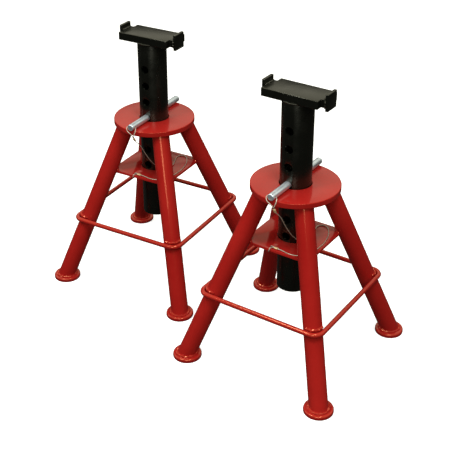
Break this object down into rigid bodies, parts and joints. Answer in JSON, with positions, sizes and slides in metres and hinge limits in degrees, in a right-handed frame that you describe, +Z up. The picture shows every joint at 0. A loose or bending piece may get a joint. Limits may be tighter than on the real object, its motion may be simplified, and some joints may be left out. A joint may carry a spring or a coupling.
{
  "type": "axle jack stands",
  "caption": "Pair of four-legged axle stands: a pinned lifting column with an end-tabbed saddle slides in a welded tube frame with a rod ring; a cable tethers the pin.",
  "frame": {"origin": "on the floor, under the centre of the pair's bounding box", "axes": "+Z up; +X along the pair, from stand B to stand A, which is also the long way of stand A's saddle; +Y away from the tethered end of stand A's locking pin"},
  "size_m": [0.8854, 0.5274, 0.652],
  "materials": {
    "red_enamel": "gloss red enamel over steel",
    "black_enamel": "satin black enamel over steel",
    "zinc_plate": "bright zinc plate",
    "steel_wire": "stranded steel cable",
    "brass": "crimped sleeve, dull"
  },
  "bodies": {
    "stand_a_frame": {"stand_a_top_plate": "red_enamel", "stand_a_lower_plate": "red_enamel", "stand_a_leg_front": "red_enamel", "stand_a_leg_right": "red_enamel", "stand_a_leg_back": "red_enamel", "stand_a_leg_left": "red_enamel", "stand_a_foot_front": "red_enamel", "stand_a_foot_right": "red_enamel", "stand_a_foot_back": "red_enamel", "stand_a_foot_left": "red_enamel", "stand_a_ring_rod_front": "red_enamel", "stand_a_ring_rod_right": "red_enamel", "stand_a_ring_rod_back": "red_enamel", "stand_a_ring_rod_left": "red_enamel", "stand_a_tether_cable": "steel_wire", "stand_a_anchor_loop": "steel_wire", "stand_a_anchor_sleeve": "brass"},
    "stand_a_mast": {"stand_a_column": "black_enamel", "stand_a_saddle_plate": "black_enamel", "stand_a_saddle_tab_left": "black_enamel", "stand_a_saddle_tab_right": "black_enamel"},
    "stand_a_pin": {"stand_a_locking_pin": "zinc_plate", "stand_a_pin_loop": "steel_wire", "stand_a_pin_sleeve": "brass"},
    "stand_b_frame": {"stand_b_top_plate": "red_enamel", "stand_b_lower_plate": "red_enamel", "stand_b_leg_front": "red_enamel", "stand_b_leg_right": "red_enamel", "stand_b_leg_back": "red_enamel", "stand_b_leg_left": "red_enamel", "stand_b_foot_front": "red_enamel", "stand_b_foot_right": "red_enamel", "stand_b_foot_back": "red_enamel", "stand_b_foot_left": "red_enamel", "stand_b_ring_rod_front": "red_enamel", "stand_b_ring_rod_right": "red_enamel", "stand_b_ring_rod_back": "red_enamel", "stand_b_ring_rod_left": "red_enamel", "stand_b_tether_cable": "steel_wire", "stand_b_anchor_loop": "steel_wire", "stand_b_anchor_sleeve": "brass"},
    "stand_b_mast": {"stand_b_column": "black_enamel", "stand_b_saddle_plate": "black_enamel", "stand_b_saddle_tab_left": "black_enamel", "stand_b_saddle_tab_right": "black_enamel"},
    "stand_b_pin": {"stand_b_locking_pin": "zinc_plate", "stand_b_pin_loop": "steel_wire", "stand_b_pin_sleeve": "brass"}
  },
  "joints": [
    {"name": "stand_a_column_lift", "type": "slide", "parent": "stand_a_frame", "child": "stand_a_mast", "axis": [0, 0, 1], "range_m": [-0.126, 0.126]},
    {"name": "stand_a_pin_pull", "type": "slide", "parent": "stand_a_frame", "child": "stand_a_pin", "axis": [0, -1, 0], "range_m": [0, 0.142]},
    {"name": "stand_b_place", "type": "slide", "parent": "stand_a_frame", "child": "stand_b_frame", "axis": [-1, 0, 0], "range_m": [0, 0.3]},
    {"name": "stand_b_column_lift", "type": "slide", "parent": "stand_b_frame", "child": "stand_b_mast", "axis": [0, 0, 1], "range_m": [-0.126, 0.126]},
    {"name": "stand_b_pin_pull", "type": "slide", "parent": "stand_b_frame", "child": "stand_b_pin", "axis": [0.0715, -0.9974, 0], "range_m": [0, 0.142]}
  ]
}
